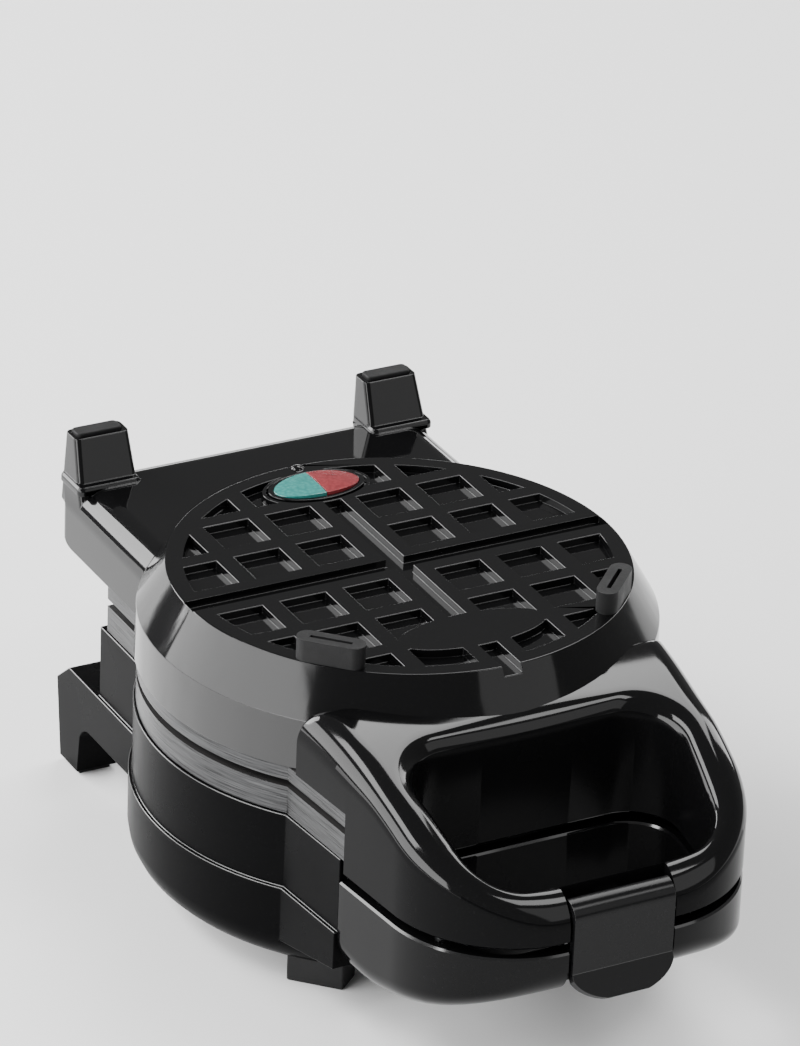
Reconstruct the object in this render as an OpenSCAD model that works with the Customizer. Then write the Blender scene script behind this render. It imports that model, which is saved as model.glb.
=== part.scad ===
/* [Lid] */
// Radius of the flat top of the lid
top_r = 87.2; // [84:0.1:90]
// Height of the flat top above the table
top_z = 132.5; // [130:0.5:135]
// Radius of the lid where the cone meets the wall
crease_r = 97.8; // [96:0.1:98]
// Height of that crease
crease_z = 114.5; // [112:0.5:117]
// Radius of the lid wall at its lower edge
lid_r = 98.3; // [98:0.1:99]
// Wall thickness of the mouldings
wall = 2.5; // [2:0.1:3]

/* [Waffle relief] */
// Pitch of the squares
pitch = 26; // [25:0.1:27]
// Side of one square
square_w = 18.6; // [16:0.1:19]
// Distance from a centre line to the first square
square_start = 9.9; // [8:0.1:10]
// Depth of the relief in the lid
relief_d = 3.2; // [1:0.1:3.5]
// Radius that cuts the outermost squares
relief_r = 80.5; // [74:0.5:82]
// Width of the cross groove
groove_w = 7.4; // [5:0.1:9]

/* [Cooking plates] */
// Height of the upper plate's rim
upper_rim_z = 88.6; // [88:0.1:89]
// Height of the lower plate's rim
lower_rim_z = 85.7; // [85:0.1:86]
// Radius of the batter basin
basin_r = 83; // [80:0.5:85]
// Depth of the basin in each plate
basin_d = 8.6; // [6:0.1:9]
// How far the pegs stop short of the rim
peg_short = 2; // [0.5:0.1:3]

/* [Handle] */
// Height of the parting face of the lid's handle
lid_part_z = 69.1; // [68.5:0.1:70]
// Height of the parting face of the base's handle
base_part_z = 65.4; // [64:0.1:66]
// Radius of the front corners in plan
corner_r = 48; // [44:1:50]
// Front face of the handle, measured from the dish's centre
handle_front = 175.5; // [174:0.5:177]

/* [Latch] */
// Half width of the latch
latch_hw = 20.4; // [19:0.1:20.8]
// Radius of the latch pin
latch_pin_r = 1.5; // [1.4:0.05:1.6]
// Distance of the latch pin from the dish's centre
latch_y = 170.4; // [170.2:0.1:170.6]
// Height of the latch pin
latch_z = 77.9; // [77.5:0.1:78.2]

/* [Hinge] */
// Distance of the hinge axis behind the dish's centre
hinge_y = 113; // [112:0.5:114]
// Height of the hinge axis
hinge_z = 75; // [74:0.5:76]
// Radius of the hinge pins
hinge_pin_r = 3; // [2.5:0.1:3.5]

/* [Base] */
// Height of the base's top edge
base_top_z = 74.5; // [74:0.1:74.6]
// Height of the step around the base
step_z = 44.3; // [43:0.1:46]
// Height of the flat bottom above the table
bottom_z = 10.3; // [9:0.1:12]
// Inner radius of the cord gland
gland_r = 3.6; // [3:0.1:4]

/* [Hidden] */
$fn = 96;

// The dish's centre stands this far behind the middle of the whole object
dish_y = 22.6;
// Play between neighbouring mouldings
gap = 0.25;
// Running clearance of a pin in its bore
play = 0.05;

side_x = 76.3;              // half width of the straight sides
taper_y = -62;              // the sides run in towards the handle from here
taper = 0.097;
plate_front = -100;
plate_rear = 92.3;
plate_top_z = 94.2;
plate_low_z = 74.8;
body_front = -98;
body_rear = 97;
lid_low_z = plate_top_z + 0.2;
deck_z = 122.1;             // top of the plate behind the round lid
deck_rear = 136;
deck_round = 12;
lug_top_z = 139.8;
stand_z = 141.2;            // lug pads and lid feet share this height
leg_x0 = 61;
leg_x1 = 78;
open_rear = -101.5;
open_front = -163.3;
lens_y = 68.4;
lens_a = 17.6;              // half length and half width of the lens
lens_b = 9.1;
foot_turn = 45;
gland_y = 101.5;            // outer face of the boss that holds the cord gland
gland_z = 36;
hollow_front = -154;        // the handle halves are solid in front of this
screw_x = 67;               // the plates' screws stand at these places on both sides
plate_screw_y = [-86, 82];
cover_screw_r = 70;         // the bottom cover's screws stand on this circle
cover_screw_a = [20, 160, 200, 340];
handle_screws_at = [[62, -112], [56.5, -146]];
hinge_screw_at = [42, 124];
pilot_r = 1.3;              // hole that a screw's thread bites into
free_r = 1.7;               // hole that a screw's shank passes through
boss_r = 4.2;
head_r = 3;
shank_r = 1.25;
head_h = 1.6;
peg_x = 8;                  // each lid foot has two pegs, this far from its middle
peg_r = 1.9;
handle_wall = 7;
grille_x = [-40:10:40];     // the bottom cover's cooling slots
ear_x = 36;                 // inner face of the base's hinge ears
ear_r = 9.5;
ear_w = 10;
heater_ring_r = 58;
heater_r = 3.2;
heater_ends = [105, 75];
plan_c = [22, -(handle_front - corner_r)];

function bow(c, r, a0, a1, n) =
    [for (i = [0:n]) let (a = a0 + (a1 - a0) * i / n) c + r * [cos(a), sin(a)]];
function oval(a, b, n = 48) = [for (i = [0:n - 1]) [a * cos(360 * i / n), b * sin(360 * i / n)]];
function side_at(y) = side_x - taper * max(0, taper_y - y);
function flip(pts) = [for (i = [len(pts) - 1:-1:0]) [-pts[i][0], pts[i][1]]];

module placed() {
    translate([0, dish_y, 0]) children();
}

module both_sides() {
    children();
    mirror([1, 0, 0]) children();
}

module at_plate_screws(ys, z) {
    both_sides() for (y = ys) translate([screw_x, y, z]) children();
}

module at_handle_screws(z) {
    both_sides() for (at = handle_screws_at) translate([at[0], at[1], z]) children();
}

module at_hinge_screws(z) {
    both_sides() translate([hinge_screw_at[0], hinge_screw_at[1], z]) children();
}

module at_cover_screws(z) {
    for (a = cover_screw_a) rotate([0, 0, a]) translate([cover_screw_r, 0, z]) children();
}

module pilot(length) {
    cylinder(r = pilot_r, h = length, $fn = 24);
}

module shank_hole(length) {
    cylinder(r = free_r, h = length, $fn = 24);
}

// An outline in Y and Z, drawn out along X from x0 to x1
module side_slab(pts, x0, x1) {
    translate([x0, 0, 0]) rotate([90, 0, 90]) linear_extrude(x1 - x0) polygon(pts);
}

// A cross-head screw that points up, with the top of its head at z = 0
module screw(length, head = head_h) {
    difference() {
        union() {
            cylinder(r = head_r, h = head);
            translate([0, 0, head]) cylinder(r = shank_r, h = length);
        }
        rotate([0, 0, 45]) translate([-head_r, -0.4, -1]) cube([2 * head_r, 0.8, 1.8]);
        rotate([0, 0, -45]) translate([-head_r, -0.4, -1]) cube([2 * head_r, 0.8, 1.8]);
    }
}

// ---------------------------------------------------------------- lid

module lid_round(grow, low) {
    rotate_extrude($fn = 180) polygon(concat([[0, low], [lid_r + grow, low]],
        low < lid_low_z ? [[lid_r + grow, lid_low_z]] : [], [[crease_r + grow, crease_z],
        [top_r + grow, top_z + min(grow, 0)], [0, top_z + min(grow, 0)]]));
}

module lid_deck(inset, low) {
    rr = deck_round - inset;
    top = deck_z - inset;
    rear = deck_rear - inset;
    half = 76.6 - inset;
    intersection() {
        side_slab(concat([[0, low], [0, top]], bow([rear - rr, top - rr], rr, 90, 0, 8),
            bow([rear - rr, low + rr], rr, 0, -90, 8)), -half, half);
        rotate([90, 0, 180]) linear_extrude(rear) polygon(concat([[-half, low]],
            bow([-half + rr, top - rr], rr, 180, 90, 8), bow([half - rr, top - rr], rr, 90, 0, 8),
            [[half, low]]));
        linear_extrude(top) polygon(concat([[half, 0]], bow([half - 7, rear - 7], 7, 0, 90, 6),
            bow([-half + 7, rear - 7], 7, 90, 180, 6), [[-half, 0]]));
    }
}

module lug(inset) {
    hull() {
        for (x = [52.5 + inset, 73.6 - inset], y = [119 + inset, 134 - inset])
            translate([x, y, 112]) cylinder(r = 2.4, h = 1, $fn = 24);
        for (x = [53.4 + inset, 71.4 - inset], y = [129.4 + inset, 134.6 - inset])
            translate([x, y, lug_top_z - 1 - inset]) cylinder(r = 2.4, h = 1, $fn = 24);
    }
}

// The flared foot of a lug, where it grows out of the plate
module lug_foot() {
    hull() for (x = [52.7, 73.9], y = [119.6, 133.4]) translate([x, y, 0]) {
        translate([0, 0, deck_z - 2]) cylinder(r = 2.7, h = 2.2, $fn = 24);
        translate([0, 0, deck_z]) cylinder(r = 1.8, h = 1.6, $fn = 24);
    }
}

module squares(depth, z0) {
    starts = [square_start, square_start + pitch, square_start + 2 * pitch];
    intersection() {
        for (sx = [-1, 1], sy = [-1, 1], x = starts, y = starts)
            translate([sx > 0 ? x : -x - square_w, sy > 0 ? y : -y - square_w, z0])
                cube([square_w, square_w, depth]);
        translate([0, 0, z0 - 1]) cylinder(r = relief_r, h = depth + 2);
    }
}

module relief() {
    difference() {
        union() {
            squares(relief_d + 1, top_z - relief_d);
            translate([-top_r - 12, -groove_w / 2, top_z - relief_d]) cube([2 * top_r + 24, groove_w, 9]);
            translate([-groove_w / 2, -top_r - 12, top_z - relief_d]) cube([groove_w, top_r + 12 + 59.3, 9]);
        }
        translate([0, -57.2, 0]) linear_extrude(top_z + 20) polygon(oval(30, 12.3));
        translate([0, lens_y, 0]) linear_extrude(top_z + 20) polygon(oval(lens_a + 4.6, lens_b + 4.2));
        for (x = [-1, 1]) translate([x * 2 * top_r, 0, 0]) cube([2 * top_r, 30, 400], center = true);
    }
    translate([0, lens_y, top_z - 2.4]) linear_extrude(9) polygon(oval(lens_a + 3, lens_b + 2.8));
}

module lid_cover() {
    color("#101012") placed() difference() {
        union() {
            lid_round(0, lid_low_z);
            lid_deck(0, lid_low_z);
            both_sides() lug(0);
            both_sides() lug_foot();
            translate([0, 84.6, top_z - 1.6]) sphere(r = 3, $fn = 32);
        }
        difference() {
            union() {
                lid_round(-wall, lid_low_z - 1);
                lid_deck(wall, lid_low_z - 1);
            }
            translate([0, 0, top_z - 5.7]) cylinder(r = top_r, h = 20);
            at_plate_screws([plate_screw_y[1]], lid_low_z) cylinder(r = boss_r, h = 60);
            at_hinge_screws(lid_low_z + 2.4) cylinder(r = boss_r, h = 60);
            both_sides() lug(0);
        }
        both_sides() translate([56, 125.4, 98]) cube([14, 8.6, 34]);
        relief();
        translate([0, lens_y, 0]) linear_extrude(top_z + 1) polygon(oval(lens_a - 1, lens_b - 1));
        both_sides() for (s = [-peg_x, peg_x])
            foot_place(s) cylinder(r = peg_r + 0.1, h = 30, center = true, $fn = 32);
        at_plate_screws([plate_screw_y[1]], 90) pilot(22);
        at_hinge_screws(90) pilot(18);
        at_pads() linear_extrude(3) pad_outline(0.2);
    }
}

module foot_place(shift) {
    translate([58.5, -58.1, top_z]) rotate([0, 0, foot_turn]) translate([shift, 0, 0]) children();
}

module at_pads() {
    both_sides() translate([62.7, 132.1, lug_top_z - 1.2]) children();
}

module pad_outline(grow) {
    polygon(concat(bow([7.6, 1.6], 1.8 + grow, 0, 90, 5), bow([-7.6, 1.6], 1.8 + grow, 90, 180, 5),
        bow([-7.6, -1.6], 1.8 + grow, 180, 270, 5), bow([7.6, -1.6], 1.8 + grow, 270, 360, 5)));
}

module lug_pads() {
    color("#1b1b1c") placed() at_pads() linear_extrude(stand_z - lug_top_z + 1.2) pad_outline(0);
}

module lid_feet() {
    color("#1b1b1c") placed() both_sides() {
        foot_place(0) difference() {
            linear_extrude(stand_z - top_z) polygon(concat(bow([8.8, 0], 4.2, -90, 90, 16),
                bow([-8.8, 0], 4.2, 90, 270, 16)));
            translate([-8, -0.8, 2.5]) cube([16, 1.6, 20]);
        }
        for (s = [-peg_x, peg_x]) foot_place(s) translate([0, 0, -5]) cylinder(r = peg_r, h = 6, $fn = 32);
    }
}

// The surface of the handle's top and bottom along Y
function top_curve(y) = 121.5 - 0.0031 * pow(min(0, y + 62), 2);
function low_curve(y) = 28.5 + 0.0038 * pow(min(0, y - body_front), 2);
function edge_r(y) = 5 + 5 * max(0, min(1, (y + 176) / 110));

// Half of the handle's plan: points with their outward direction, from the rear to the middle
function plan_half(y0) =
    let (p = [side_x + 0.5, taper_y], d = p - plan_c, a0 = atan2(d[1], d[0]) - acos(corner_r / norm(d)))
    concat([for (t = [0, 0.35, 0.7]) let (q = plan_c + corner_r * [cos(a0), sin(a0)],
            y = y0 + (q[1] - y0) * t, s = (q[0] - p[0]) / (q[1] - p[1]))
            [p[0] + s * (y - p[1]), y, t == 0 ? 1 : cos(a0), t == 0 ? 0 : sin(a0)]],
        [for (i = [0:12]) let (a = a0 + (-90 - a0) * i / 12)
            [plan_c[0] + corner_r * cos(a), plan_c[1] + corner_r * sin(a), cos(a), sin(a)]],
        [[plan_c[0] * 0.4, -handle_front - 0.8, 0, -1]]);

function inner_plan(y0, inset) = [for (h = plan_half(y0)) [h[0] - h[2] * inset, h[1] - h[3] * inset]];

// The handle's outer form: straight up from flat_z, then rounded over to the curved face
module handle_form(y0, inset, flat_z, upper) {
    half = plan_half(y0);
    n = len(half);
    steps = 5;
    function lift(y) = upper ? top_curve(y) - inset : low_curve(y) + inset;
    function shifted(h, off) = [h[0] - h[2] * off, h[1] - h[3] * off];
    function at(h, k) = let (r = edge_r(h[1]) - inset * 0.7, a = k * 90 / steps,
        q = shifted(h, inset + r * (1 - cos(a))), dz = r * (1 - sin(a)))
        [q[0], q[1], upper ? lift(q[1]) - dz : lift(q[1]) + dz];
    function foot(h) = let (q = shifted(h, inset)) [q[0], q[1], flat_z];
    right = [for (h = half) concat([foot(h)], [for (k = [0:steps]) at(h, k)])];
    rows = concat(right, [for (i = [n - 1:-1:0]) [for (p = right[i]) [-p[0], p[1], p[2]]]]);
    m = steps + 2;
    count = 2 * n;
    pts = [for (row = rows, p = row) p];
    walls = [for (i = [0:count - 2], k = [0:m - 2]) let (a = i * m + k, b = a + m)
        each [[a, b + 1, a + 1], [a, b, b + 1]]];
    caps = [for (i = [0:n - 2], k = [0, m - 1]) let (j = count - 1 - i,
        f = [i * m + k, (i + 1) * m + k, (j - 1) * m + k, j * m + k])
        k == 0 ? [f[3], f[2], f[1], f[0]] : f];
    back = [for (i = [0, count - 1], k = [0:m - 1]) (i == 0 ? k : (count - 1) * m + (m - 1 - k))];
    mirror([0, 0, upper ? 0 : 1]) polyhedron([for (p = pts) [p[0], p[1], upper ? p[2] : -p[2]]],
        concat(walls, caps, [back]));
}

function opening(grow) = let (half = concat(bow([35.3, open_rear - 18], 18 + grow, 90, -8, 8),
    bow([31.5, open_front + 18.3], 18.3 + grow, -2, -90, 8))) concat(half, flip(half));

// The hollow inside a handle half: its plan drawn in by the wall, under a stepped ceiling
module handle_hollow(y0, curve, near_z) {
    half = inner_plan(y0, handle_wall);
    intersection() {
        linear_extrude(200) polygon(concat(half, flip(half)));
        side_slab(concat([[y0, near_z], [hollow_front, near_z]], curve), -90, 90);
    }
}

module finger_hole(grow) {
    linear_extrude(200) polygon(opening(grow));
}

module pocket(low, high) {
    translate([-latch_hw - 1.1, -latch_y - 20, low]) cube([2 * latch_hw + 2.2, 24.9, high - low]);
}

module lid_handle() {
    color("#101012") placed() difference() {
        handle_form(-60, 0, lid_part_z, true);
        lid_round(gap, 60);
        translate([-100, plate_front - 0.5, 0]) cube([200, 80, lid_low_z]);
        finger_hole(0);
        difference() {
            handle_hollow(plate_front - 4, [for (y = [hollow_front, -140, -120, plate_front - 4])
                [y, top_curve(y) - 6]], lid_part_z - 2);
            lid_round(3, 60);
            finger_hole(3);
            pocket(60, 200);
            at_handle_screws(lid_part_z + 2) cylinder(r = boss_r, h = 80);
        }
        at_handle_screws(60) pilot(24);
        pocket(lid_part_z - 1, 130);
        translate([-26, -latch_y, latch_z]) rotate([0, 90, 0]) cylinder(r = latch_pin_r, h = 52, $fn = 48);
        at_plate_screws([plate_screw_y[0]], 90) pilot(22);
    }
}

// The plate that closes a handle half along its parting face
module handle_closer(y0, z0, thick) {
    half = inner_plan(y0, handle_wall + 0.2);
    difference() {
        translate([0, 0, z0]) linear_extrude(thick) polygon(concat(half, flip(half)));
        finger_hole(3.4);
        pocket(0, 200);
        translate([-90, hollow_front - 29.8, 0]) cube([180, 30, 200]);
        at_handle_screws(0) shank_hole(200);
    }
}

module lid_handle_plate() {
    color("#161618") placed() handle_closer(plate_front - 4.3, lid_part_z, 2);
}

module lid_handle_screws() {
    color("#8f9296") placed() at_handle_screws(lid_part_z - head_h) screw(10);
}

module lid_hinge_plate() {
    color("#161618") placed() difference() {
        union() {
            translate([-73.6, plate_rear + 1.2, lid_low_z]) cube([147.2, 33.4, 2.2]);
            both_sides() translate([ear_x + ear_w + 1.3, 0, 0]) {
                translate([0, hinge_y, hinge_z]) rotate([0, 90, 0]) cylinder(r = ear_r, h = ear_w);
                translate([0, hinge_y - ear_r, hinge_z]) cube([ear_w, 2 * ear_r, lid_low_z + 1 - hinge_z]);
            }
        }
        translate([-80, hinge_y, hinge_z]) rotate([0, 90, 0])
            cylinder(r = hinge_pin_r + play, h = 160, $fn = 64);
        at_hinge_screws(80) shank_hole(40);
    }
}

module lid_hinge_screws() {
    color("#8f9296") placed() at_hinge_screws(lid_low_z - head_h) screw(10);
}

module lamp_bezel() {
    color("#1a1a1c") placed() translate([0, lens_y, top_z - 2.4]) difference() {
        linear_extrude(2.9) polygon(oval(lens_a + 2.2, lens_b + 2.2));
        translate([0, 0, -1]) linear_extrude(9) polygon(oval(lens_a + 0.2, lens_b + 0.2));
    }
}

module lens_half(shade) {
    color(shade) placed() intersection() {
        translate([0, lens_y, top_z - 2.4]) linear_extrude(8) polygon(oval(lens_a, lens_b));
        translate([0, lens_y, top_z + 2 - 110]) sphere(r = 110, $fn = 180);
        translate([0.15, 0, 0]) cube([40, 120, 200]);
    }
}

module green_lens() {
    mirror([1, 0, 0]) lens_half("#3fa79f");
}

module red_lens() {
    lens_half("#a8343a");
}

module lamp_holder() {
    color("#d8d4c8") placed() translate([0, lens_y, 0]) difference() {
        translate([-15, -8, top_z - 14.7]) cube([30, 16, 9]);
        for (x = [-7, 7]) translate([x, 0, top_z - 14]) cylinder(r = 3.2, h = 20);
    }
}

module signal_lamps() {
    color("#e07a3c") placed() for (x = [-7, 7]) translate([x, lens_y, top_z - 14]) {
        cylinder(r = 2.8, h = 8);
        translate([0, 0, 8]) sphere(r = 2.8);
    }
}

// ---------------------------------------------------------------- cooking plates

module plate_block(height) {
    cylinder(r = 97.3, h = height, $fn = 180);
    half = [[side_at(plate_front), plate_front], [side_x - 0.4, taper_y], [side_x - 0.4, plate_rear]];
    linear_extrude(height) polygon(concat(half, flip(half)));
}

// One plate with its cooking face up at z = 0
module cooking_plate(rim_h, body_h) {
    difference() {
        union() {
            translate([0, 0, -rim_h]) plate_block(rim_h);
            translate([0, 0, -body_h]) cylinder(r = 88, h = body_h);
        }
        difference() {
            translate([0, 0, -basin_d]) cylinder(r = basin_r, h = basin_d + 1);
            squares(basin_d - peg_short, -basin_d);
            intersection() {
                union() {
                    translate([-100, -2, -basin_d]) cube([200, 4, basin_d - peg_short]);
                    translate([-2, -100, -basin_d]) cube([4, 200, basin_d - peg_short]);
                }
                translate([0, 0, -20]) cylinder(r = basin_r + 1, h = 30);
            }
        }
        at_plate_screws(plate_screw_y, -1.8) {
            translate([0, 0, -28]) shank_hole(60);
            cylinder(r = head_r + 0.3, h = 10, $fn = 32);
        }
    }
}

module upper_plate() {
    color("#9c9fa1") placed() translate([0, 0, upper_rim_z]) mirror([0, 0, 1])
        cooking_plate(plate_top_z - upper_rim_z, 12);
}

module lower_plate() {
    color("#9c9fa1") placed() translate([0, 0, lower_rim_z])
        cooking_plate(lower_rim_z - plate_low_z, 13.4);
}

// A tubular heater: an open ring with two cold ends that turn away from the plate
module heater(away) {
    rotate([0, 0, heater_ends[0]]) rotate_extrude(angle = 360 + heater_ends[1] - heater_ends[0], $fn = 96)
        translate([heater_ring_r, 0]) circle(r = heater_r, $fn = 32);
    for (a = heater_ends) rotate([0, 0, a]) translate([heater_ring_r, 0, 0]) {
        sphere(r = heater_r, $fn = 32);
        translate([0, 0, away < 0 ? -9 : 0]) cylinder(r = 2.6, h = 9, $fn = 32);
    }
}

module upper_heater() {
    color("#6f6a64") placed() translate([0, 0, upper_rim_z + 12 + 3.3]) heater(1);
}

module lower_heater() {
    color("#6f6a64") placed() translate([0, 0, lower_rim_z - 13.4 - 3.3]) heater(-1);
}

module reflector(dir) {
    mirror([0, 0, dir > 0 ? 0 : 1]) difference() {
        rotate_extrude($fn = 120) polygon([[0, 0], [82, 0], [89.5, -10], [92, -10], [92, -9.2],
            [90, -9.2], [82.5, 0.8], [0, 0.8]]);
        for (a = heater_ends) rotate([0, 0, a]) translate([heater_ring_r, 0, -5])
            cylinder(r = heater_r + 0.2, h = 10, $fn = 32);
    }
}

module upper_reflector() {
    color("#b9bbbc") placed() translate([0, 0, upper_rim_z + 12 + 8.6]) reflector(1);
}

module lower_reflector() {
    color("#b9bbbc") placed() translate([0, 0, lower_rim_z - 13.4 - 8.6]) reflector(-1);
}

module upper_plate_screws() {
    color("#8f9296") placed() at_plate_screws(plate_screw_y, upper_rim_z) screw(14, 1.8);
}

module lower_plate_screws() {
    color("#8f9296") placed() at_plate_screws(plate_screw_y, lower_rim_z)
        mirror([0, 0, 1]) screw(20, 1.8);
}

module thermostat() {
    color("#cfc8b6") placed() translate([0, 0, upper_rim_z + 12.05]) {
        cylinder(r = 8, h = 5);
        translate([0, 0, 5]) cylinder(r = 6, h = 2.4);
        both_sides() translate([7, -3, 1.6]) cube([7, 6, 0.8]);
    }
}

module thermal_fuse() {
    color("#b8aa7c") placed() translate([0, -30, upper_rim_z + 14.5]) rotate([0, 90, 0]) {
        translate([0, 0, -6]) cylinder(r = 2, h = 12, $fn = 32);
        translate([0, 0, -16]) cylinder(r = 0.5, h = 32, $fn = 16);
    }
}

// ---------------------------------------------------------------- latch

module latch() {
    hook_z = 59.4;
    color("#17171a") placed() translate([0, -latch_y, 0]) difference() {
        union() {
            translate([-latch_hw, 0, latch_z]) rotate([0, 90, 0]) cylinder(r = 6.2, h = 2 * latch_hw);
            translate([-latch_hw, -6.2, 54]) cube([2 * latch_hw, 3, latch_z - 54]);
            side_slab([[-6.2, 54], [-3.2, 54], [-3.2, 56.4], [1.6, 56.4], [1.6, hook_z - 1],
                [0.6, hook_z], [-3.2, hook_z], [-3.2, 62], [-6.2, 62]], -14, 14);
            intersection() {
                side_slab([[-6.2, 56.5], [-11.8, 47.2], [-10.2, 46.2], [-3.2, 54], [-3.2, 56.5]],
                    -latch_hw, latch_hw);
                translate([0, -4.7, 56]) rotate([45, 0, 0]) translate([0, 0, -20])
                    linear_extrude(40) polygon(oval(latch_hw + 0.6, 12.2));
            }
        }
        translate([-30, 3.4, latch_z - 10]) cube([60, 10, 20]);
        translate([-30, 1, latch_z + 2.4]) cube([60, 10, 20]);
        translate([-30, 0, latch_z]) rotate([0, 90, 0]) cylinder(r = latch_pin_r + play, h = 60, $fn = 48);
        translate([-5.4, -3.2, latch_z - 10]) cube([10.8, 10, 13.2]);
    }
}

module latch_pin() {
    color("#9a9da0") placed() translate([-26, -latch_y, latch_z]) rotate([0, 90, 0])
        cylinder(r = latch_pin_r, h = 52, $fn = 48);
}

// A coil around the pin, swept as one tube
module latch_spring() {
    coil_r = 2.6;
    wire_r = 0.35;
    turns = 5;
    rings = 16 * turns;
    sides = 8;
    function ring_c(i) = let (a = 360 * turns * i / rings)
        [-4.5 + 9 * i / rings, coil_r * cos(a), coil_r * sin(a)];
    pts = [for (i = [0:rings], k = [0:sides - 1]) let (a = 360 * turns * i / rings,
        b = 360 * k / sides, r = coil_r + wire_r * cos(b))
        [ring_c(i)[0] + wire_r * sin(b), r * cos(a), r * sin(a)]];
    walls = [for (i = [0:rings - 1], k = [0:sides - 1]) let (q = (k + 1) % sides)
        each [[i * sides + k, i * sides + q, (i + 1) * sides + q],
            [i * sides + k, (i + 1) * sides + q, (i + 1) * sides + k]]];
    ends = [[for (k = [sides - 1:-1:0]) k], [for (k = [0:sides - 1]) rings * sides + k]];
    color("#b4b6b8") placed() translate([0, -latch_y, latch_z]) polyhedron(pts, concat(walls, ends));
}

// ---------------------------------------------------------------- base

module base_block(grow, height) {
    cylinder(r = lid_r + grow, h = height, $fn = 180);
    base_sides(grow, height);
}

module base_sides(grow, height) {
    off = 0.3 + grow;
    half = [[side_at(body_front) + off, body_front - min(grow, 0)], [side_x + off, taper_y],
        [side_x + off, body_rear + min(grow, 0)]];
    linear_extrude(height) polygon(concat(half, flip(half)));
}

// Lower part of the base: a rounded tray with straight sides
module base_tray(inset) {
    r = lid_r + 1.4 - inset;
    round_r = 14 - inset;
    z0 = bottom_z + inset;
    rotate_extrude($fn = 180) polygon(concat([[0, step_z], [0, z0]],
        bow([r - round_r, z0 + round_r], round_r, -90, 0, 5), [[r, step_z]]));
    intersection() {
        base_sides(1.4 - inset, step_z);
        side_slab([[body_front + inset, step_z + 1], [body_front + inset, 28.7 + inset],
            [taper_y, 22 + inset], [60, 22 + inset], [68, 24.3 + inset], [body_rear, 24.3 + inset],
            [body_rear, step_z + 1]], -90, 90);
    }
}

module rear_leg() {
    side_slab(concat([[70, 24.3], [103, 24.3]], bow([103, 15.3], 9, 90, 20, 5),
        [[113.5, 2], [129.5, 2], [133, 35.3], [122, step_z], [70, step_z]]), leg_x0, leg_x1);
}

module base_housing() {
    color("#131315") placed() difference() {
        union() {
            difference() {
                union() {
                    translate([0, 0, step_z - 1]) base_block(0, base_top_z - step_z + 1);
                    base_tray(0);
                }
                translate([0, 0, step_z - 3]) base_block(-wall, base_top_z);
                base_tray(wall);
                translate([0, 0, -1]) cylinder(r = 80.2, h = 40);
            }
            both_sides() rear_leg();
            both_sides() translate([ear_x, 0, 0]) {
                translate([0, hinge_y, hinge_z]) rotate([0, 90, 0]) cylinder(r = ear_r, h = ear_w);
                side_slab([[body_rear - 1.5, 52], [hinge_y + 4, hinge_z - 8.6], [hinge_y, hinge_z + ear_r],
                    [body_rear - 1.5, hinge_z + ear_r]], 0, ear_w);
            }
            both_sides() for (y = plate_screw_y) translate([screw_x, y, 50]) {
                cylinder(r = boss_r, h = base_top_z - 50);
                translate([0, -1.5, 0]) cube([side_at(y) - 0.5 - screw_x, 3, base_top_z - 52]);
            }
            at_cover_screws(bottom_z + wall) {
                cylinder(r = 4, h = 14);
                translate([0, -4, 0]) cube([18, 8, 3]);
            }
            translate([0, gland_y - 11, gland_z]) rotate([-90, 0, 0]) cylinder(r = 10, h = 11);
        }
        translate([-80, hinge_y, hinge_z]) rotate([0, 90, 0]) cylinder(r = hinge_pin_r, h = 160, $fn = 64);
        at_plate_screws(plate_screw_y, 50) pilot(40);
        at_cover_screws(5) pilot(20);
        translate([0, gland_y - 20, gland_z]) rotate([-90, 0, 0]) cylinder(r = 6.6, h = 30);
        both_sides() foot_low(0) translate([0, 0, -1]) linear_extrude(18) foot_outline(0.1);
    }
}

module foot_low(z) {
    rotate([0, 0, -45]) translate([84, 0, z]) children();
}

module foot_outline(grow) {
    x = 6 + grow;
    polygon([[-x, -12 - grow], [x, -11 - grow], [x, 11 + grow], [-x, 12 + grow]]);
}

module front_feet() {
    color("#1b1b1c") placed() both_sides() foot_low(0) linear_extrude(16) foot_outline(0);
}

module rear_feet() {
    color("#1b1b1c") placed() both_sides() translate([leg_x0 + 2, 115.5, 0]) cube([13, 12.5, 2]);
}

module bottom_cover() {
    color("#161618") placed() difference() {
        union() {
            translate([0, 0, bottom_z]) cylinder(r = 80, h = 2.4);
            translate([0, 0, bottom_z + 2]) difference() {
                cylinder(r = 62, h = 4);
                translate([0, 0, -1]) cylinder(r = 60, h = 8);
            }
        }
        at_cover_screws(5) shank_hole(20);
        for (x = grille_x) translate([x - 1.5, -25, 5]) cube([3, 50, 20]);
        both_sides() foot_low(0) translate([0, 0, -1]) linear_extrude(18) foot_outline(0.1);
    }
}

module bottom_screws() {
    color("#8f9296") placed() at_cover_screws(bottom_z - head_h) screw(12);
}

module base_handle() {
    catch_low = 60;
    base_hollow = [for (y = [hollow_front, -140, -120, body_front - 4]) [y, low_curve(y) + 6]];
    color("#101012") placed() difference() {
        union() {
            difference() {
                handle_form(body_front, 0, base_part_z, false);
                finger_hole(0);
                difference() {
                    handle_hollow(body_front - 4, base_hollow, base_part_z + 2);
                    finger_hole(3);
                    at_handle_screws(base_part_z - 82) cylinder(r = boss_r, h = 80);
                }
                pocket(0, 100);
                cylinder(r = lid_r + 1.4 + gap, h = 200, $fn = 180);
            }
            translate([-16, -172.5, catch_low]) cube([32, 8, 4.5]);
        }
        at_handle_screws(base_part_z - 16) pilot(24);
    }
}

module base_handle_plate() {
    color("#161618") placed() handle_closer(body_front - 4.3, base_part_z - 2, 2);
}

module base_handle_screws() {
    color("#8f9296") placed() at_handle_screws(base_part_z + head_h) mirror([0, 0, 1]) screw(10);
}

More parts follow.
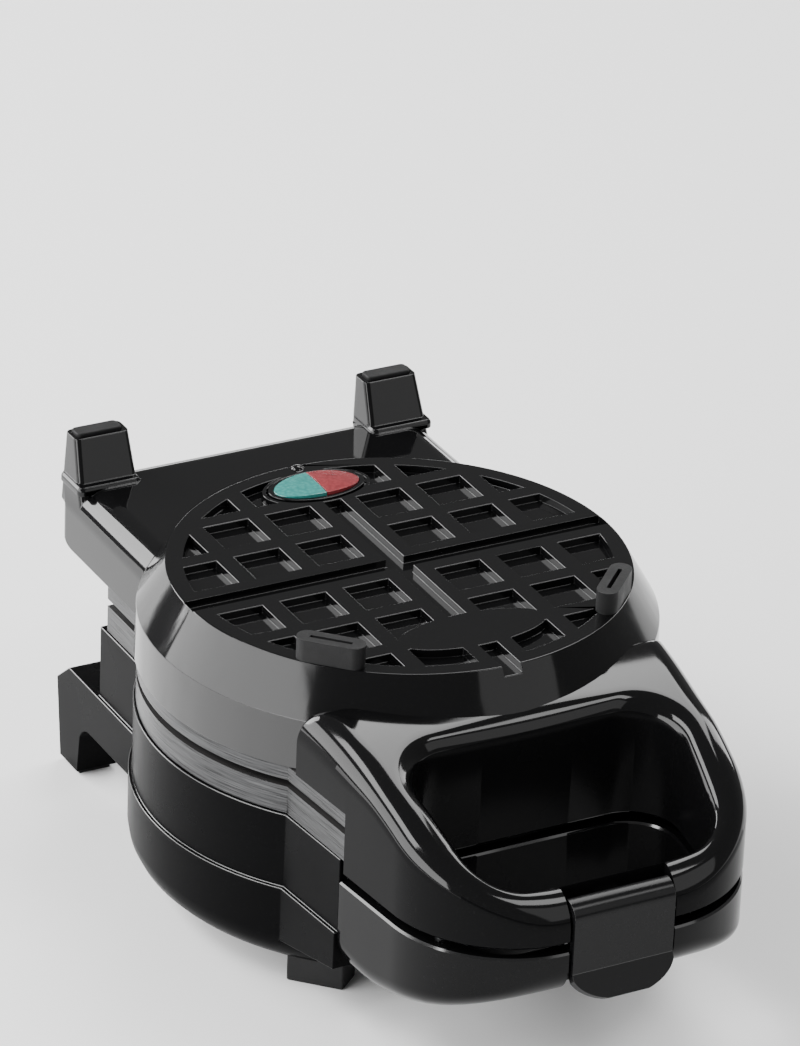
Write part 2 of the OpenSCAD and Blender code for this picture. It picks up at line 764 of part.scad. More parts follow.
module hinge_pins() {
    color("#9a9da0") placed() both_sides() translate([ear_x, hinge_y, hinge_z]) rotate([0, 90, 0]) {
        cylinder(r = hinge_pin_r, h = 22, $fn = 64);
        translate([0, 0, -1.5]) cylinder(r = 4.6, h = 1.5, $fn = 48);
    }
}

module terminal_block() {
    color("#d8d4c8") placed() translate([0, 71, bottom_z + 2.4]) difference() {
        translate([-16, -7, 0]) cube([32, 14, 13]);
        for (x = [-10, 0, 10]) translate([x, 0, 4]) cylinder(r = 2.6, h = 20, $fn = 32);
    }
}

module cord_gland() {
    color("#1b1b1c") placed() translate([0, gland_y, gland_z]) rotate([-90, 0, 0]) difference() {
        union() {
            translate([0, 0, -12.5]) cylinder(r = 6.4, h = 18.5);
            cylinder(r1 = 9, r2 = 7.4, h = 6);
            translate([0, 0, -12.5]) cylinder(r = 7.6, h = 1.4);
        }
        translate([0, 0, -20]) cylinder(r = gland_r, h = 40);
    }
}

lid_cover();
lid_handle();
lid_handle_plate();
lid_handle_screws();
lid_hinge_plate();
lid_hinge_screws();
lug_pads();
lid_feet();
lamp_bezel();
green_lens();
red_lens();
lamp_holder();
signal_lamps();
upper_plate();
upper_heater();
upper_reflector();
upper_plate_screws();
thermostat();
thermal_fuse();
latch();
latch_pin();
latch_spring();
base_housing();
base_handle();
base_handle_plate();
base_handle_screws();
bottom_cover();
bottom_screws();
front_feet();
rear_feet();
lower_plate();
lower_heater();
lower_reflector();
lower_plate_screws();
hinge_pins();
terminal_block();
cord_gland();
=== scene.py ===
import bpy
import bmesh
import math
import numpy as np
from mathutils import Matrix, Vector


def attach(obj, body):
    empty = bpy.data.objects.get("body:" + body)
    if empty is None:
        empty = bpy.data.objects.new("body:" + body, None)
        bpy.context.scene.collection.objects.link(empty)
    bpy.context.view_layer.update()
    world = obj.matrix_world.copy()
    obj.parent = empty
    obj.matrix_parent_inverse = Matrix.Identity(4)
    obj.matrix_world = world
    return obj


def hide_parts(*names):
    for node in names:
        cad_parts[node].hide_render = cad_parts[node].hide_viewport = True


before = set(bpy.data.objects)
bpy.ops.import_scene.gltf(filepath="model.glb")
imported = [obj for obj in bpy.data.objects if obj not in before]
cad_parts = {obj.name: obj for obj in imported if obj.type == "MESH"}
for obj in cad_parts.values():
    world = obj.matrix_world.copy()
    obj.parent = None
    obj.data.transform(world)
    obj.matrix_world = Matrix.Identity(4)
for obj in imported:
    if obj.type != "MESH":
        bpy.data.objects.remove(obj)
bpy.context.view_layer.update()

# ------------------------------------------------------------------ sizes
# Places are in millimetres from the point on the table under the middle of the round lid.
MM = 0.001
LID_Y = 0.0226                              # that point in the shared frame, in metres

# the handle in plan: straight tapering sides, round corners, a slightly bowed front
SIDE_X, TAPER_Y = 76.8, -62.0
CORNER_X, CORNER_R = 22.0, 48.0
HANDLE_FRONT, FRONT_BOW = 175.5, 0.8
LID_GRIP_REAR, BASE_GRIP_REAR = -66.0, -98.0    # where the two halves end

# the finger opening in plan: a round corner on each side at the rear and at the front
OPEN_REAR, OPEN_FRONT, OPEN_MID = -101.5, -163.3, -130.0
OPEN_REAR_X, OPEN_REAR_R = 35.3, 18.0
OPEN_FRONT_X, OPEN_FRONT_R = 31.5, 18.3

# the handle from the side: its faces are level at the rear and curve together towards the front
TOP_Z, TOP_CURVE, TOP_LEVEL_Y = 121.5, 0.0031, -62.0
LOW_Z, LOW_CURVE, LOW_LEVEL_Y = 28.5, 0.0038, -98.0
LID_PART_Z, BASE_PART_Z = 69.1, 65.4        # the parting faces of the two halves
PART_EDGE_Z, PART_EDGE_X = 0.8, 0.7         # their small chamfers
LIP_R = 8.0                                 # rounding into the finger opening
EDGE_R, EDGE_R_GROWTH = 11.0, 3.0           # rounding of the outer edge, and what it gains
EDGE_R_Y, EDGE_R_LENGTH = -176.0, 110.0     # from the front, over this length to the rear
SLICES, FINE_STEPS = 150, 700               # slices in half a handle, steps along its outlines

# boxes that are cut out of the halves, each by its lowest and highest corner
LID_POCKET = (-21.5, -200, 60), (21.5, -165.5, 130)     # behind the latch
BASE_POCKET = (-21.5, -200, 0), (21.5, -165.5, 100)
PLATE_ROOM = (-100, -100.5, 40), (100, 0, 94.4)         # under the lid's wall, where the plates are

# angles in degrees
FLAT_ANGLE = 0.6                            # facets that differ by less are one face
MOULDING_SHARP, GRIP_SHARP = 40.0, 36.0     # edges with more stay sharp

# limits that pick the faces which get a copy of their finish with painted shade, painted reflection or
# painted highlight
UPRIGHT = 0.3                               # an upright face's normal has less than this in Z
EDGE_UP = 0.12                              # a rounded edge's painted highlight ends where it has less
OPEN_X, OPEN_MARGIN = 54.5, 0.5             # a box just round the finger opening
CHAMFER_LOW, CHAMFER_HIGH = 64.5, 65.6      # heights of the lower half's parting chamfer
CHAMFER_UP = 0.95                           # and the most that its normal has in Z
WALL_R, WALL_TOP, WALL_REAR = 92.0, 118.0, 60.0     # the lid's wall is outside, under, before these

LIGHTS_AIM = Vector((0, 0, 0.08))           # the point that every softbox faces, in metres


# ------------------------------------------------------------------ mesh helpers
def make(name, verts, faces, body, finish):
    """A new smooth piece from points in millimetres."""
    mesh = bpy.data.meshes.new(name)
    points = np.asarray(verts, float) * MM
    points[:, 1] += LID_Y
    mesh.from_pydata(points.tolist(), [], [tuple(int(i) for i in f) for f in faces])
    mesh.update()
    obj = bpy.data.objects.new(name, mesh)
    bpy.context.scene.collection.objects.link(obj)
    weld(mesh)
    mesh.polygons.foreach_set("use_smooth", [True] * len(mesh.polygons))
    mesh.materials.append(finish)
    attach(obj, body)
    return obj


def weld(mesh):
    """Join doubled points, drop faces without area and turn the normals outwards."""
    bm = bmesh.new()
    bm.from_mesh(mesh)
    bmesh.ops.remove_doubles(bm, verts=bm.verts, dist=2e-6)
    bmesh.ops.dissolve_degenerate(bm, edges=bm.edges, dist=1e-6)
    bmesh.ops.recalc_face_normals(bm, faces=bm.faces)
    bm.to_mesh(mesh)
    bm.free()


def merge_facets(mesh):
    """Join the triangles of each flat face, so that only real edges are left to round."""
    bm = bmesh.new()
    bm.from_mesh(mesh)
    bmesh.ops.remove_doubles(bm, verts=bm.verts, dist=1e-6)
    bmesh.ops.dissolve_limit(bm, angle_limit=math.radians(FLAT_ANGLE), verts=bm.verts, edges=bm.edges)
    bm.to_mesh(mesh)
    bm.free()


def shade(obj, angle):
    """Smooth shading, with edges sharper than the angle in degrees kept."""
    mesh = obj.data
    mesh.polygons.foreach_set("use_smooth", [True] * len(mesh.polygons))
    mesh.set_sharp_from_angle(angle=math.radians(angle))


def apply_modifiers(obj):
    graph = bpy.context.evaluated_depsgraph_get()
    mesh = bpy.data.meshes.new_from_object(obj.evaluated_get(graph))
    obj.modifiers.clear()
    obj.data = mesh


def round_edges(obj, width, segments, angle, clamp, has_painted_edge_highlight):
    bevel = obj.modifiers.new("round", "BEVEL")
    bevel.width = width * MM
    bevel.segments = segments
    bevel.limit_method = "ANGLE"
    bevel.angle_limit = math.radians(angle)
    bevel.use_clamp_overlap = clamp
    bevel.material = 1 if has_painted_edge_highlight else -1
    apply_modifiers(obj)


def weigh_normals(obj):
    """Large flat faces keep flat shading; only the rounded edges between them blend."""
    mod = obj.modifiers.new("weighted", "WEIGHTED_NORMAL")
    mod.keep_sharp = True
    mod.weight = 80
    apply_modifiers(obj)


def softened(node, body, finish, width, segments=3, angle=28.0, clamp=True, edge=None):
    """A copy of a CAD node with rounded edges, which stands for it; edge is a finish with a painted
    highlight for those edges that face up.
    """
    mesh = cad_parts[node].data.copy()
    mesh.materials.clear()
    mesh.materials.append(finish)
    if edge:
        mesh.materials.append(edge)
    obj = bpy.data.objects.new(node + "_moulding", mesh)
    bpy.context.scene.collection.objects.link(obj)
    merge_facets(mesh)
    round_edges(obj, width, segments, angle, clamp, edge is not None)
    shade(obj, MOULDING_SHARP)
    weigh_normals(obj)
    # rounded edges that face up keep the painted highlight; the others go back to the piece's own finish
    for face in obj.data.polygons:
        if face.material_index == 1 and face.normal.z < EDGE_UP:
            face.material_index = 0
    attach(obj, body)
    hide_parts(node)
    return obj


def finish_faces(obj, finish, chosen):
    """Give the faces that chosen(centre, normal) picks a finish of their own."""
    obj.data.materials.append(finish)
    index = len(obj.data.materials) - 1
    for face in obj.data.polygons:
        centre = Vector((face.center.x, face.center.y - LID_Y, face.center.z)) / MM
        if chosen(centre, face.normal):
            face.material_index = index


def cut_out(obj, low, high):
    """Cut a box out of a piece."""
    low, high = np.array(low), np.array(high)
    size = (high - low) * MM
    middle = (high + low) * 0.5 * MM + np.array([0, LID_Y, 0])
    place = Matrix.Translation(middle) @ Matrix.Diagonal((*size, 1))
    bm = bmesh.new()
    bmesh.ops.create_cube(bm, size=1.0)
    bmesh.ops.transform(bm, matrix=place, verts=bm.verts)
    mesh = bpy.data.meshes.new("cutter")
    bm.to_mesh(mesh)
    bm.free()
    cutter = bpy.data.objects.new("cutter", mesh)
    bpy.context.scene.collection.objects.link(cutter)
    mod = obj.modifiers.new("cut", "BOOLEAN")
    mod.object = cutter
    mod.operation = "DIFFERENCE"
    mod.solver = "EXACT"
    apply_modifiers(obj)
    bpy.data.objects.remove(cutter)


# ------------------------------------------------------------------ curve helpers
def ring_faces(rows, size):
    """Faces of a closed tube: so many rows of so many points, where the last row joins the first."""
    faces = []
    for a in range(rows):
        b = (a + 1) % rows
        for k in range(size):
            q = (k + 1) % size
            faces.append((a * size + k, b * size + k, b * size + q, a * size + q))
    return faces


def ease(t):
    t = np.clip(t, 0.0, 1.0)
    return t * t * (3 - 2 * t)


def fillet(distance, radius):
    """How far a rounded edge lies under its flat, at a distance from the edge."""
    t = np.clip(1 - distance / radius, 0.0, 1.0)
    return radius * (1 - np.sqrt(np.maximum(0.0, 1 - t * t)))


def soft_min(a, b, sharpness=6):
    """A little less than the smaller of two lengths, without a kink where they cross."""
    return a * b / (a ** sharpness + b ** sharpness) ** (1 / sharpness)


def arc(cx, cy, radius, start, end, count):
    a = np.radians(np.linspace(start, end, count))
    return np.stack([cx + radius * np.cos(a), cy + radius * np.sin(a)], 1)


def resample(path, count):
    steps = np.hypot(*np.diff(path, axis=0).T)
    s = np.concatenate([[0], np.cumsum(steps)])
    t = np.linspace(0, s[-1], count)
    return np.column_stack([np.interp(t, s, path[:, 0]), np.interp(t, s, path[:, 1])])


# ------------------------------------------------------------------ material helpers
def material(name, color, rough, metallic=0.0, coat=0.0, coat_rough=0.05, specular=0.5):
    mat = bpy.data.materials.new(name)
    mat.use_nodes = True
    nodes = mat.node_tree.nodes
    links = mat.node_tree.links
    shader = nodes["Principled BSDF"]
    shader.inputs["Base Color"].default_value = (*color, 1)
    shader.inputs["Roughness"].default_value = rough
    shader.inputs["Metallic"].default_value = metallic
    shader.inputs["Coat Weight"].default_value = coat
    shader.inputs["Coat Roughness"].default_value = coat_rough
    shader.inputs["Specular IOR Level"].default_value = specular
    return mat, nodes, links, shader


def coords(nodes, links, scale=(1, 1, 1)):
    tex = nodes.new("ShaderNodeTexCoord")
    mapping = nodes.new("ShaderNodeMapping")
    mapping.inputs["Scale"].default_value = scale
    links.new(tex.outputs["Object"], mapping.inputs["Vector"])
    return mapping.outputs["Vector"]


def noise(nodes, links, vector, scale, detail=4.0, rough=0.55):
    tex = nodes.new("ShaderNodeTexNoise")
    tex.inputs["Scale"].default_value = scale
    tex.inputs["Detail"].default_value = detail
    tex.inputs["Roughness"].default_value = rough
    links.new(vector, tex.inputs["Vector"])
    return tex.outputs["Fac"]


def ranged(nodes, links, value, low, high, start=0.3, end=0.7):
    node = nodes.new("ShaderNodeMapRange")
    node.inputs["From Min"].default_value = start
    node.inputs["From Max"].default_value = end
    node.inputs["To Min"].default_value = low
    node.inputs["To Max"].default_value = high
    links.new(value, node.inputs["Value"])
    return node.outputs["Result"]


def mixed(nodes, links, value, a, b):
    node = nodes.new("ShaderNodeMix")
    node.data_type = "RGBA"
    node.inputs["A"].default_value = (*a, 1)
    node.inputs["B"].default_value = (*b, 1)
    links.new(value, node.inputs["Factor"])
    return node.outputs["Result"]


def bumped(nodes, links, shader, height, strength, distance):
    node = nodes.new("ShaderNodeBump")
    node.inputs["Strength"].default_value = strength
    node.inputs["Distance"].default_value = distance
    links.new(height, node.inputs["Height"])
    links.new(node.outputs["Normal"], shader.inputs["Normal"])


def lighter(color, factor, lift=0.0):
    return tuple(c * factor + lift for c in color)


# ------------------------------------------------------------------ materials
def gloss_plastic(name, color, rough, spread, specular):
    """Moulded gloss plastic: faint flow waviness, fine dust and a little haze."""
    mat, nodes, links, shader = material(name, color, rough, specular=specular)
    where = coords(nodes, links)
    haze = noise(nodes, links, where, scale=28.0, detail=6.0)
    links.new(ranged(nodes, links, haze, rough, rough + spread), shader.inputs["Roughness"])
    dust = noise(nodes, links, where, scale=900.0, detail=2.0)
    specks = ranged(nodes, links, dust, 0.0, 1.0, start=0.62, end=0.80)
    links.new(mixed(nodes, links, specks, color, lighter(color, 1.6, 0.002)), shader.inputs["Base Color"])
    flow = noise(nodes, links, where, scale=60.0, detail=2.0)
    bumped(nodes, links, shader, flow, strength=0.035, distance=0.0004)
    return mat


def grained_plastic(name, color, rough):
    """Textured matt plastic with a fine spark-eroded grain."""
    mat, nodes, links, shader = material(name, color, rough)
    where = coords(nodes, links)
    cloud = noise(nodes, links, where, scale=40.0)
    links.new(mixed(nodes, links, cloud, color, lighter(color, 1.5)), shader.inputs["Base Color"])
    grain = noise(nodes, links, where, scale=1400.0, detail=3.0)
    bumped(nodes, links, shader, grain, strength=0.25, distance=0.0003)
    return mat


def rubber(name, color):
    """Moulded rubber, slightly mottled and scuffed."""
    mat, nodes, links, shader = material(name, color, 0.55, specular=0.25)
    where = coords(nodes, links)
    scuff = noise(nodes, links, where, scale=90.0)
    links.new(ranged(nodes, links, scuff, 0.48, 0.70), shader.inputs["Roughness"])
    mottle = noise(nodes, links, where, scale=220.0)
    links.new(mixed(nodes, links, mottle, color, lighter(color, 1.8)), shader.inputs["Base Color"])
    grain = noise(nodes, links, where, scale=1100.0, detail=3.0)
    bumped(nodes, links, shader, grain, strength=0.3, distance=0.0003)
    return mat


def plate_metal(name):
    """Die-cast plate: bare metal brushed along its rim, dark coating on the faces that lie flat."""
    mat, nodes, links, shader = material(name, (0.62, 0.63, 0.64), 0.36, metallic=1.0)
    where = coords(nodes, links, (45, 45, 1500))
    streak = noise(nodes, links, where, scale=1.0, detail=6.0, rough=0.6)
    bare = mixed(nodes, links, ranged(nodes, links, streak, 0.0, 1.0),
                 (0.02, 0.02, 0.0205), (0.115, 0.116, 0.118))
    tex = nodes.new("ShaderNodeTexCoord")
    axes = nodes.new("ShaderNodeSeparateXYZ")
    links.new(tex.outputs["Normal"], axes.inputs["Vector"])
    flat = nodes.new("ShaderNodeMath")
    flat.operation = "ABSOLUTE"
    links.new(axes.outputs["Z"], flat.inputs[0])
    coated = ranged(nodes, links, flat.outputs["Value"], 0.0, 1.0, start=0.45, end=0.8)
    mix = nodes.new("ShaderNodeMix")
    mix.data_type = "RGBA"
    links.new(coated, mix.inputs["Factor"])
    links.new(bare, mix.inputs["A"])
    mix.inputs["B"].default_value = (0.035, 0.034, 0.034, 1)
    links.new(mix.outputs["Result"], shader.inputs["Base Color"])
    links.new(ranged(nodes, links, coated, 1.0, 0.25, start=0.0, end=1.0), shader.inputs["Metallic"])
    links.new(ranged(nodes, links, streak, 0.22, 0.42), shader.inputs["Roughness"])
    bumped(nodes, links, shader, streak, strength=0.18, distance=0.0004)
    return mat


def steel(name, color, rough):
    """Drawn or plated steel with fine streaks."""
    mat, nodes, links, shader = material(name, color, rough, metallic=1.0)
    where = coords(nodes, links, (60, 60, 900))
    grain = noise(nodes, links, where, scale=1.0, detail=6.0)
    links.new(ranged(nodes, links, grain, rough - 0.08, rough + 0.12), shader.inputs["Roughness"])
    links.new(mixed(nodes, links, grain, lighter(color, 0.75), color), shader.inputs["Base Color"])
    bumped(nodes, links, shader, grain, strength=0.08, distance=0.0003)
    return mat


def lens_plastic(name, deep, bright):
    """Translucent coloured lens with a pebbled inner face that scatters light."""
    mat, nodes, links, shader = material(name, deep, 0.16, coat=0.8, coat_rough=0.03)
    where = coords(nodes, links)
    cells = nodes.new("ShaderNodeTexVoronoi")
    cells.inputs["Scale"].default_value = 700.0
    links.new(where, cells.inputs["Vector"])
    pebbles = cells.outputs["Distance"]
    links.new(mixed(nodes, links, pebbles, bright, deep), shader.inputs["Base Color"])
    bumped(nodes, links, shader, pebbles, strength=0.18, distance=0.0003)
    shader.inputs["Subsurface Weight"].default_value = 0.25
    shader.inputs["Subsurface Radius"].default_value = (0.004, 0.004, 0.004)
    return mat


JET = (0.003, 0.003, 0.0032)
BLACK = gloss_plastic("lid_gloss_black", JET, 0.06, 0.04, specular=0.3)
# a copy of the lid's black that reflects more strongly, for the lid's upright wall: a painted reflection
WALL_PAINTED_REFLECTION = gloss_plastic("lid_wall_painted_reflection", JET, 0.07, 0.05, specular=0.75)
# a copy of the black that barely reflects, for the handle's upright outer sides: painted shade
SIDE_PAINTED_SHADE = gloss_plastic("handle_side_painted_shade", JET, 0.08, 0.05, specular=0.05)
# a rougher, satin copy of the black for the walls inside the finger opening, whose reflection is turned
# almost off as painted shade
OPENING_SATIN_PAINTED_SHADE = gloss_plastic("opening_satin_painted_shade", JET, 0.22, 0.10, specular=0.04)
GRIP_BLACK = gloss_plastic("base_gloss_black", JET, 0.09, 0.06, specular=0.11)
BASE_BLACK = gloss_plastic("base_satin_black", (0.0022, 0.0022, 0.0024), 0.24, 0.10, specular=0.025)
LATCH_BLACK = gloss_plastic("latch_satin_black", (0.005, 0.005, 0.0053), 0.16, 0.08, specular=0.16)
# a copy of the black that reflects much more strongly, for rounded edges that face up: a painted
# highlight
EDGE_PAINTED_HIGHLIGHT = gloss_plastic("edge_painted_highlight", (0.004, 0.004, 0.0043), 0.10, 0.06, specular=0.75)
INNER = grained_plastic("inner_black", (0.012, 0.012, 0.013), 0.55)
CERAMIC = grained_plastic("ceramic", (0.62, 0.58, 0.48), 0.6)
RUBBER = rubber("foot_rubber", (0.005, 0.005, 0.0052))
PLATE = plate_metal("plate_metal")
SHEET = steel("bright_sheet", (0.72, 0.73, 0.74), 0.28)
SHEATH = steel("heater_sheath", (0.22, 0.20, 0.18), 0.45)
STEEL = steel("zinc_steel", (0.52, 0.53, 0.54), 0.34)
GLOW = lens_plastic("lamp_glow", (0.75, 0.32, 0.14), (0.9, 0.5, 0.25))
GREEN = lens_plastic("green_lens", (0.012, 0.15, 0.135), (0.04, 0.25, 0.225))
RED = lens_plastic("red_lens", (0.16, 0.010, 0.014), (0.26, 0.028, 0.034))

# every node that isn't named here is zinc-plated steel
FINISH = {
    "lid_cover": BLACK, "lid_handle": BLACK, "latch": LATCH_BLACK, "lamp_bezel": BLACK,
    "lid_handle_plate": INNER, "lid_hinge_plate": INNER, "base_handle_plate": INNER,
    "bottom_cover": INNER, "base_housing": BASE_BLACK, "base_handle": BASE_BLACK,
    "lug_pads": RUBBER, "lid_feet": RUBBER, "front_feet": RUBBER, "rear_feet": RUBBER,
    "cord_gland": RUBBER, "green_lens": GREEN, "red_lens": RED,
    "upper_plate": PLATE, "lower_plate": PLATE, "upper_reflector": SHEET, "lower_reflector": SHEET,
    "upper_heater": SHEATH, "lower_heater": SHEATH, "lamp_holder": CERAMIC,
    "terminal_block": CERAMIC, "thermostat": CERAMIC, "thermal_fuse": CERAMIC, "signal_lamps": GLOW,
}


def finish_nodes():
    for node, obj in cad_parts.items():
        obj.data.materials.clear()
        obj.data.materials.append(FINISH.get(node, STEEL))


# ------------------------------------------------------------------ handles
def side_corner():
    """The angle at which the tapering side meets the front corner's arc, in degrees."""
    dx, dy = SIDE_X - CORNER_X, TAPER_Y + HANDLE_FRONT - CORNER_R
    return math.degrees(math.atan2(dy, dx) - math.acos(CORNER_R / math.hypot(dx, dy)))


def outer_half(rear):
    """The right half of the handle's outline, from its rear to the middle of its front."""
    start = side_corner()
    corner_y = CORNER_R - HANDLE_FRONT
    curve = arc(CORNER_X, corner_y, CORNER_R, start, -90, count=44)
    tangent = curve[0]
    line = np.linspace((SIDE_X, TAPER_Y), tangent, 40)[:-1]
    line = line[line[:, 1] <= rear]
    rear_x = np.interp(rear, [tangent[1], TAPER_Y], [tangent[0], SIDE_X])
    line = np.concatenate([[[rear_x, rear]], line])
    front_x = np.linspace(CORNER_X, 0, 12)[1:]
    front = np.column_stack([front_x, -HANDLE_FRONT - FRONT_BOW * ease(1 - front_x / CORNER_X)])
    across = np.linspace((0, rear), line[0], 30)[:-1]
    return np.concatenate([across, line, curve, front])


def opening_half():
    """The right half of the finger opening's outline, from the rear to the front."""
    rear = arc(OPEN_REAR_X, OPEN_REAR - OPEN_REAR_R, OPEN_REAR_R, 90, -8, count=26)
    front = arc(OPEN_FRONT_X, OPEN_FRONT + OPEN_FRONT_R, OPEN_FRONT_R, -2, -90, count=24)
    start = np.linspace((0, OPEN_REAR), (OPEN_REAR_X, OPEN_REAR), 18)[:-1]
    side = np.linspace(rear[-1], front[0], 12)[1:-1]
    end = np.linspace((OPEN_FRONT_X, OPEN_FRONT), (0, OPEN_FRONT), 16)[1:]
    return np.concatenate([start, rear, side, front, end])


def seen_from_middle(path, turn):
    """The points of an outline in the given directions from the middle of the opening."""
    fine = resample(path, FINE_STEPS)
    angle = np.maximum.accumulate(np.arctan2(fine[:, 0], fine[:, 1] - OPEN_MID))
    return np.column_stack([np.interp(turn, angle, fine[:, 0]), np.interp(turn, angle, fine[:, 1])])


def top_curve(y):
    return TOP_Z - TOP_CURVE * np.minimum(0, y - TOP_LEVEL_Y) ** 2


def low_curve(y):
    return LOW_Z + LOW_CURVE * np.minimum(0, y - LOW_LEVEL_Y) ** 2


def edge_radius(y):
    return EDGE_R + EDGE_R_GROWTH * np.clip((y - EDGE_R_Y) / EDGE_R_LENGTH, 0, 1)


def cross_section(inner, outer, upper, part_z):
    """A slice of the handle: from the opening over its rounded face to the outer edge, and back."""
    length = math.hypot(*(outer - inner))
    lip = min(LIP_R, length * 0.5)
    edge = soft_min(edge_radius(outer[1]), length - lip)
    lip_turn = np.linspace(0, math.pi / 2, 9)
    edge_turn = np.linspace(0, math.pi / 2, 12)
    s = np.concatenate([lip * (1 - np.cos(lip_turn)),
                        np.linspace(lip, length - edge, 12)[1:-1],
                        length - edge + edge * np.sin(edge_turn)])
    p = inner + (outer - inner) * (s / length)[:, None]
    drop = fillet(s, lip) + fillet(length - s, edge)
    z = top_curve(p[:, 1]) - drop if upper else low_curve(p[:, 1]) + drop
    chamfer_z = part_z + (PART_EDGE_Z if upper else -PART_EDGE_Z)
    below = [(*outer, chamfer_z),
             (*(outer + (inner - outer) / length * PART_EDGE_X), part_z),
             (*(inner + (outer - inner) / length * PART_EDGE_X), part_z),
             (*inner, chamfer_z)]
    return np.concatenate([np.column_stack([p, z]), below])


def handle_mesh(upper, rear, part_z):
    """One half of the looped handle, as a ring of slices round the finger opening."""
    turn = np.linspace(0, math.pi, SLICES)
    outer = seen_from_middle(outer_half(rear), turn)
    inner = seen_from_middle(opening_half(), turn)
    mirror = np.array([-1, 1])
    right = list(zip(inner, outer))
    left = [(a * mirror, b * mirror) for a, b in right[-2:0:-1]]
    rows = [cross_section(a, b, upper, part_z) for a, b in right + left]
    return np.concatenate(rows), ring_faces(len(rows), len(rows[0]))


def outwards(centre, normal):
    """Above zero for a face that looks away from the middle of the finger opening."""
    return (centre - Vector((0, OPEN_MID, centre.z))).dot(normal)


def in_opening(centre, normal):
    near = abs(centre.x) < OPEN_X and OPEN_FRONT - OPEN_MARGIN < centre.y < OPEN_REAR + OPEN_MARGIN
    return near and outwards(centre, normal) < 0 and abs(normal.z) < UPRIGHT


def on_handle_side(centre, normal):
    return outwards(centre, normal) > 0 and abs(normal.z) < UPRIGHT


def on_parting_edge(centre, normal):
    return CHAMFER_LOW < centre.z < CHAMFER_HIGH and UPRIGHT < normal.z < CHAMFER_UP


def on_lid_wall(centre, normal):
    outside = math.hypot(centre.x, centre.y) > WALL_R and centre.y < WALL_REAR
    return outside and centre.z < WALL_TOP and abs(normal.z) < UPRIGHT


def build_lid():
    lid = softened("lid_cover", "lid", BLACK, 0.4, angle=24.0, clamp=False)
    # the lid's upright wall gets a stronger reflection, painted on
    finish_faces(lid, WALL_PAINTED_REFLECTION, on_lid_wall)


def build_handles():
    verts, faces = handle_mesh(True, LID_GRIP_REAR, LID_PART_Z)
    top = make("lid_grip", verts, faces, "lid", BLACK)
    cut_out(top, *LID_POCKET)
    cut_out(top, *PLATE_ROOM)
    shade(top, GRIP_SHARP)
    # the walls inside the finger opening: satin, with painted shade
    finish_faces(top, OPENING_SATIN_PAINTED_SHADE, in_opening)
    # the upright outer sides get painted shade
    finish_faces(top, SIDE_PAINTED_SHADE, on_handle_side)
    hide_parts("lid_handle")
    verts, faces = handle_mesh(False, BASE_GRIP_REAR, BASE_PART_Z)
    low = make("base_grip", verts, faces, "base", GRIP_BLACK)
    cut_out(low, *BASE_POCKET)
    shade(low, GRIP_SHARP)
    # the walls inside the finger opening: satin, with painted shade
    finish_faces(low, OPENING_SATIN_PAINTED_SHADE, in_opening)
    # the parting chamfer that faces up gets the painted highlight
    finish_faces(low, EDGE_PAINTED_HIGHLIGHT, on_parting_edge)
    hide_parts("base_handle")


def build_mouldings():
    # the upward rounded edges of the base and the latch get a painted highlight
    softened("base_housing", "base", BASE_BLACK, 0.4, segments=2, clamp=False, edge=EDGE_PAINTED_HIGHLIGHT)
    softened("latch", "latch", LATCH_BLACK, 0.5, edge=EDGE_PAINTED_HIGHLIGHT)
    softened("lug_pads", "lid", RUBBER, 0.6)
    softened("lid_feet", "lid", RUBBER, 0.9)
    softened("front_feet", "base", RUBBER, 0.8)
    softened("lamp_bezel", "lid", BLACK, 0.35)
    softened("green_lens", "lid", GREEN, 0.3)
    softened("red_lens", "lid", RED, 0.3)
    softened("upper_plate", "lid", PLATE, 0.5)
    softened("lower_plate", "base", PLATE, 0.5)


# ------------------------------------------------------------------ studio
def studio_floor():
    bm = bmesh.new()
    bmesh.ops.create_grid(bm, x_segments=1, y_segments=1, size=6.0)
    mesh = bpy.data.meshes.new("floor")
    bm.to_mesh(mesh)
    bm.free()
    floor = bpy.data.objects.new("floor", mesh)
    bpy.context.scene.collection.objects.link(floor)
    mesh.materials.append(material("floor_white", (0.93, 0.93, 0.93), 0.7)[0])


def towards(azimuth, elevation):
    """A unit vector; azimuth runs from +X towards +Y, and both are in degrees."""
    az, el = math.radians(azimuth), math.radians(elevation)
    return Vector((math.cos(az) * math.cos(el), math.sin(az) * math.cos(el), math.sin(el)))


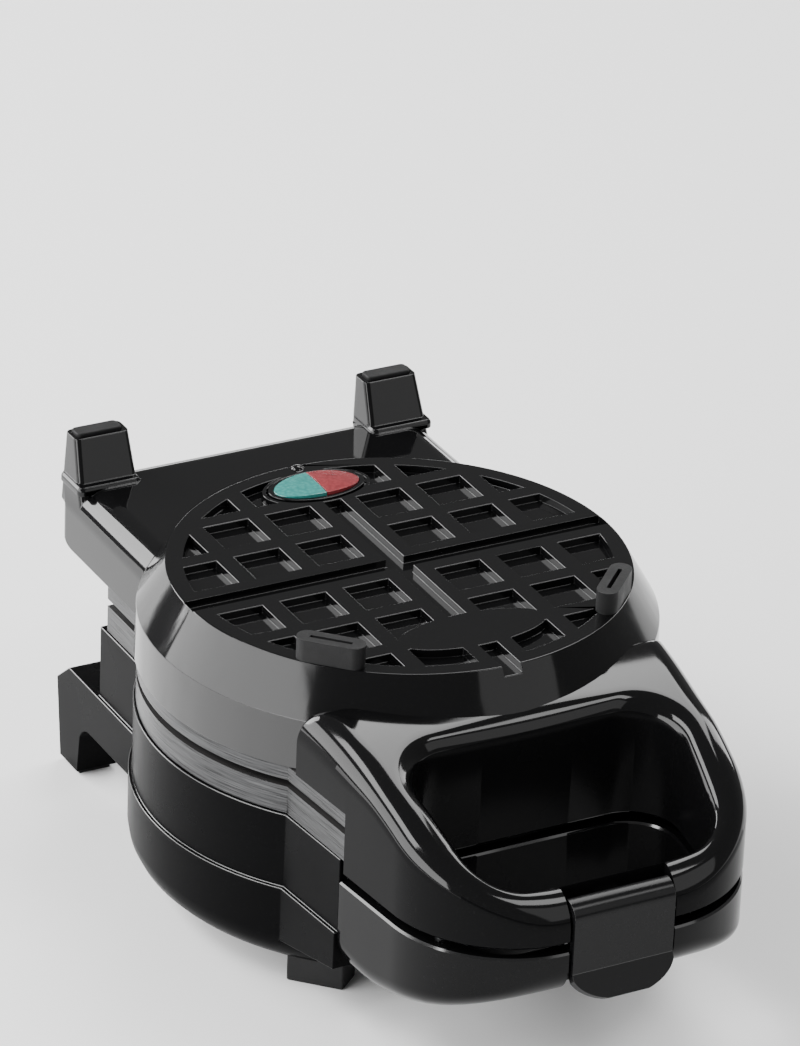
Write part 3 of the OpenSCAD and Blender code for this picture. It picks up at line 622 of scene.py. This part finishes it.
def softbox(name, azimuth, elevation, distance, width, height, radiance):
    """A rectangular light that faces the object; its sizes are in metres."""
    away = towards(azimuth, elevation)
    data = bpy.data.lights.new(name, "AREA")
    data.shape = "RECTANGLE"
    data.size, data.size_y = width, height
    data.energy = radiance * math.pi * width * height
    obj = bpy.data.objects.new(name, data)
    obj.location = LIGHTS_AIM + away * distance
    obj.rotation_euler = away.to_track_quat("Z", "Y").to_euler()
    bpy.context.scene.collection.objects.link(obj)


def lights():
    """Each softbox is placed for one group of faces to reflect it; a white world lights the rest."""
    # azimuth, elevation, distance, width, height, radiance
    softbox("overhead", 42, 54, 2.6, 1.4, 1.1, 9.0)
    softbox("front_top", 303, 52, 2.3, 0.8, 0.5, 9.0)
    softbox("left_wide", 170, 18, 2.4, 4.0, 1.25, 8.5)
    softbox("left_rear", 118, 22, 2.4, 0.9, 1.3, 15.0)
    softbox("right_strip", 20, 25, 2.2, 0.3, 1.2, 8.0)
    softbox("left_high", 165, 50, 2.4, 1.5, 0.7, 14.0)
    softbox("front_fill", 300, 24, 2.3, 1.4, 1.2, 1.2)
    softbox("rear_low", 62, 7, 2.4, 0.9, 0.25, 6.0)
    world = bpy.data.worlds.new("studio")
    world.use_nodes = True
    background = world.node_tree.nodes["Background"]
    background.inputs["Color"].default_value = (1, 1, 1, 1)
    background.inputs["Strength"].default_value = 0.26
    bpy.context.scene.world = world


def camera():
    """The photograph's viewing angle: from the front left and above, through a long lens."""
    turn, elevation, roll = -28.645, 27.139, math.radians(2.248)
    distance, lens = 2.260, 270.0
    look = Vector((0.0149, 0.0282 + LID_Y, 0.1325))
    back = towards(turn - 90, elevation)
    right = Vector((math.cos(math.radians(turn)), math.sin(math.radians(turn)), 0))
    up = back.cross(right)
    rolled_right = right * math.cos(roll) + up * math.sin(roll)
    rolled_up = up * math.cos(roll) - right * math.sin(roll)
    data = bpy.data.cameras.new("camera")
    data.sensor_fit = "HORIZONTAL"
    data.sensor_width = 36.0
    data.lens = lens
    data.clip_end = 50
    cam = bpy.data.objects.new("camera", data)
    place = Matrix((rolled_right, rolled_up, back)).transposed().to_4x4()
    place.translation = look + back * distance
    cam.matrix_world = place
    bpy.context.scene.collection.objects.link(cam)
    bpy.context.scene.camera = cam


finish_nodes()
build_lid()
build_handles()
build_mouldings()
studio_floor()
lights()
camera()
